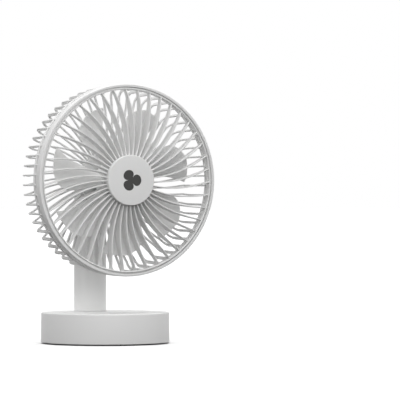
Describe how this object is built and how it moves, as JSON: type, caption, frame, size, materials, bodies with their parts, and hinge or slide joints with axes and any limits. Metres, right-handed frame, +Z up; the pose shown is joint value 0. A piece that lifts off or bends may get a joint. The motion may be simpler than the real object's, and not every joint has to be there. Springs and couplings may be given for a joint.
{
  "type": "desk fan",
  "caption": "Compact rechargeable desk fan: round base, rear column and a caged head that tilts, with a wide-bladed impeller.",
  "frame": {"origin": "middle of the base on the surface it stands on", "axes": "+Z up, the fan blows towards -Y, +X to the right of someone facing the front grille from in front of it"},
  "size_m": [0.1858, 0.1264, 0.2524],
  "materials": {
    "white_plastic": "fine matt moulded white",
    "grey_plastic": "matt grey moulding",
    "dark_plastic": "satin near-black",
    "clear_lens": "milky clear light guide",
    "foot_rubber": "matt black rubber",
    "steel": "zinc-plated steel",
    "magnet": "sintered magnet",
    "copper_wire": "enamelled copper wire",
    "circuit_board": "green solder mask",
    "cell_wrap": "shrink-wrapped cell, blue"
  },
  "bodies": {
    "stand": {"base_shell": "white_plastic", "base_plate": "white_plastic", "foot_front": "foot_rubber", "foot_rear_left": "foot_rubber", "foot_rear_right": "foot_rubber", "base_screw_1": "steel", "base_screw_2": "steel", "base_screw_3": "steel", "base_screw_4": "steel", "battery_cradle": "grey_plastic", "battery_cell_1": "cell_wrap", "battery_cell_2": "cell_wrap", "control_board": "circuit_board", "charging_board": "circuit_board", "usb_socket": "steel", "tact_switch": "dark_plastic", "indicator_lens": "clear_lens", "column": "white_plastic", "column_screw_1": "steel", "column_screw_2": "steel", "column_screw_3": "steel", "tilt_bolt": "steel", "tilt_nut": "steel", "pivot_cap_left": "white_plastic", "pivot_cap_right": "white_plastic", "motor_lead": "dark_plastic"},
    "head": {"rear_grille": "white_plastic", "front_grille": "white_plastic", "hub_cap": "white_plastic", "cap_emblem": "dark_plastic", "motor_bracket": "white_plastic", "motor_housing": "white_plastic", "housing_screw_1": "steel", "housing_screw_2": "steel", "housing_screw_3": "steel", "friction_washer_left": "dark_plastic", "friction_washer_right": "dark_plastic", "stator_core": "steel", "winding_1": "copper_wire", "winding_2": "copper_wire", "winding_3": "copper_wire", "winding_4": "copper_wire", "winding_5": "copper_wire", "winding_6": "copper_wire", "motor_board": "circuit_board", "bearing_front": "steel", "bearing_rear": "steel"},
    "impeller": {"impeller": "white_plastic", "rotor_cup": "steel", "rotor_magnet": "magnet", "motor_shaft": "steel", "impeller_nut": "steel", "shaft_clip": "steel"},
    "button": {"power_button": "white_plastic"}
  },
  "joints": [
    {"name": "head_tilt", "type": "hinge", "parent": "stand", "child": "head", "pos_m": [0, 0.0365, 0.1595], "axis": [-1, 0, 0], "range_deg": [-10, 35]},
    {"name": "fan_spin", "type": "hinge", "parent": "head", "child": "impeller", "pos_m": [0, -0.0345, 0.1595], "axis": [0, 1, 0], "continuous": true},
    {"name": "button_press", "type": "slide", "parent": "stand", "child": "button", "axis": [0, 0, -1], "range_m": [0, 0.0012], "stiffness_N_per_m": 800}
  ]
}
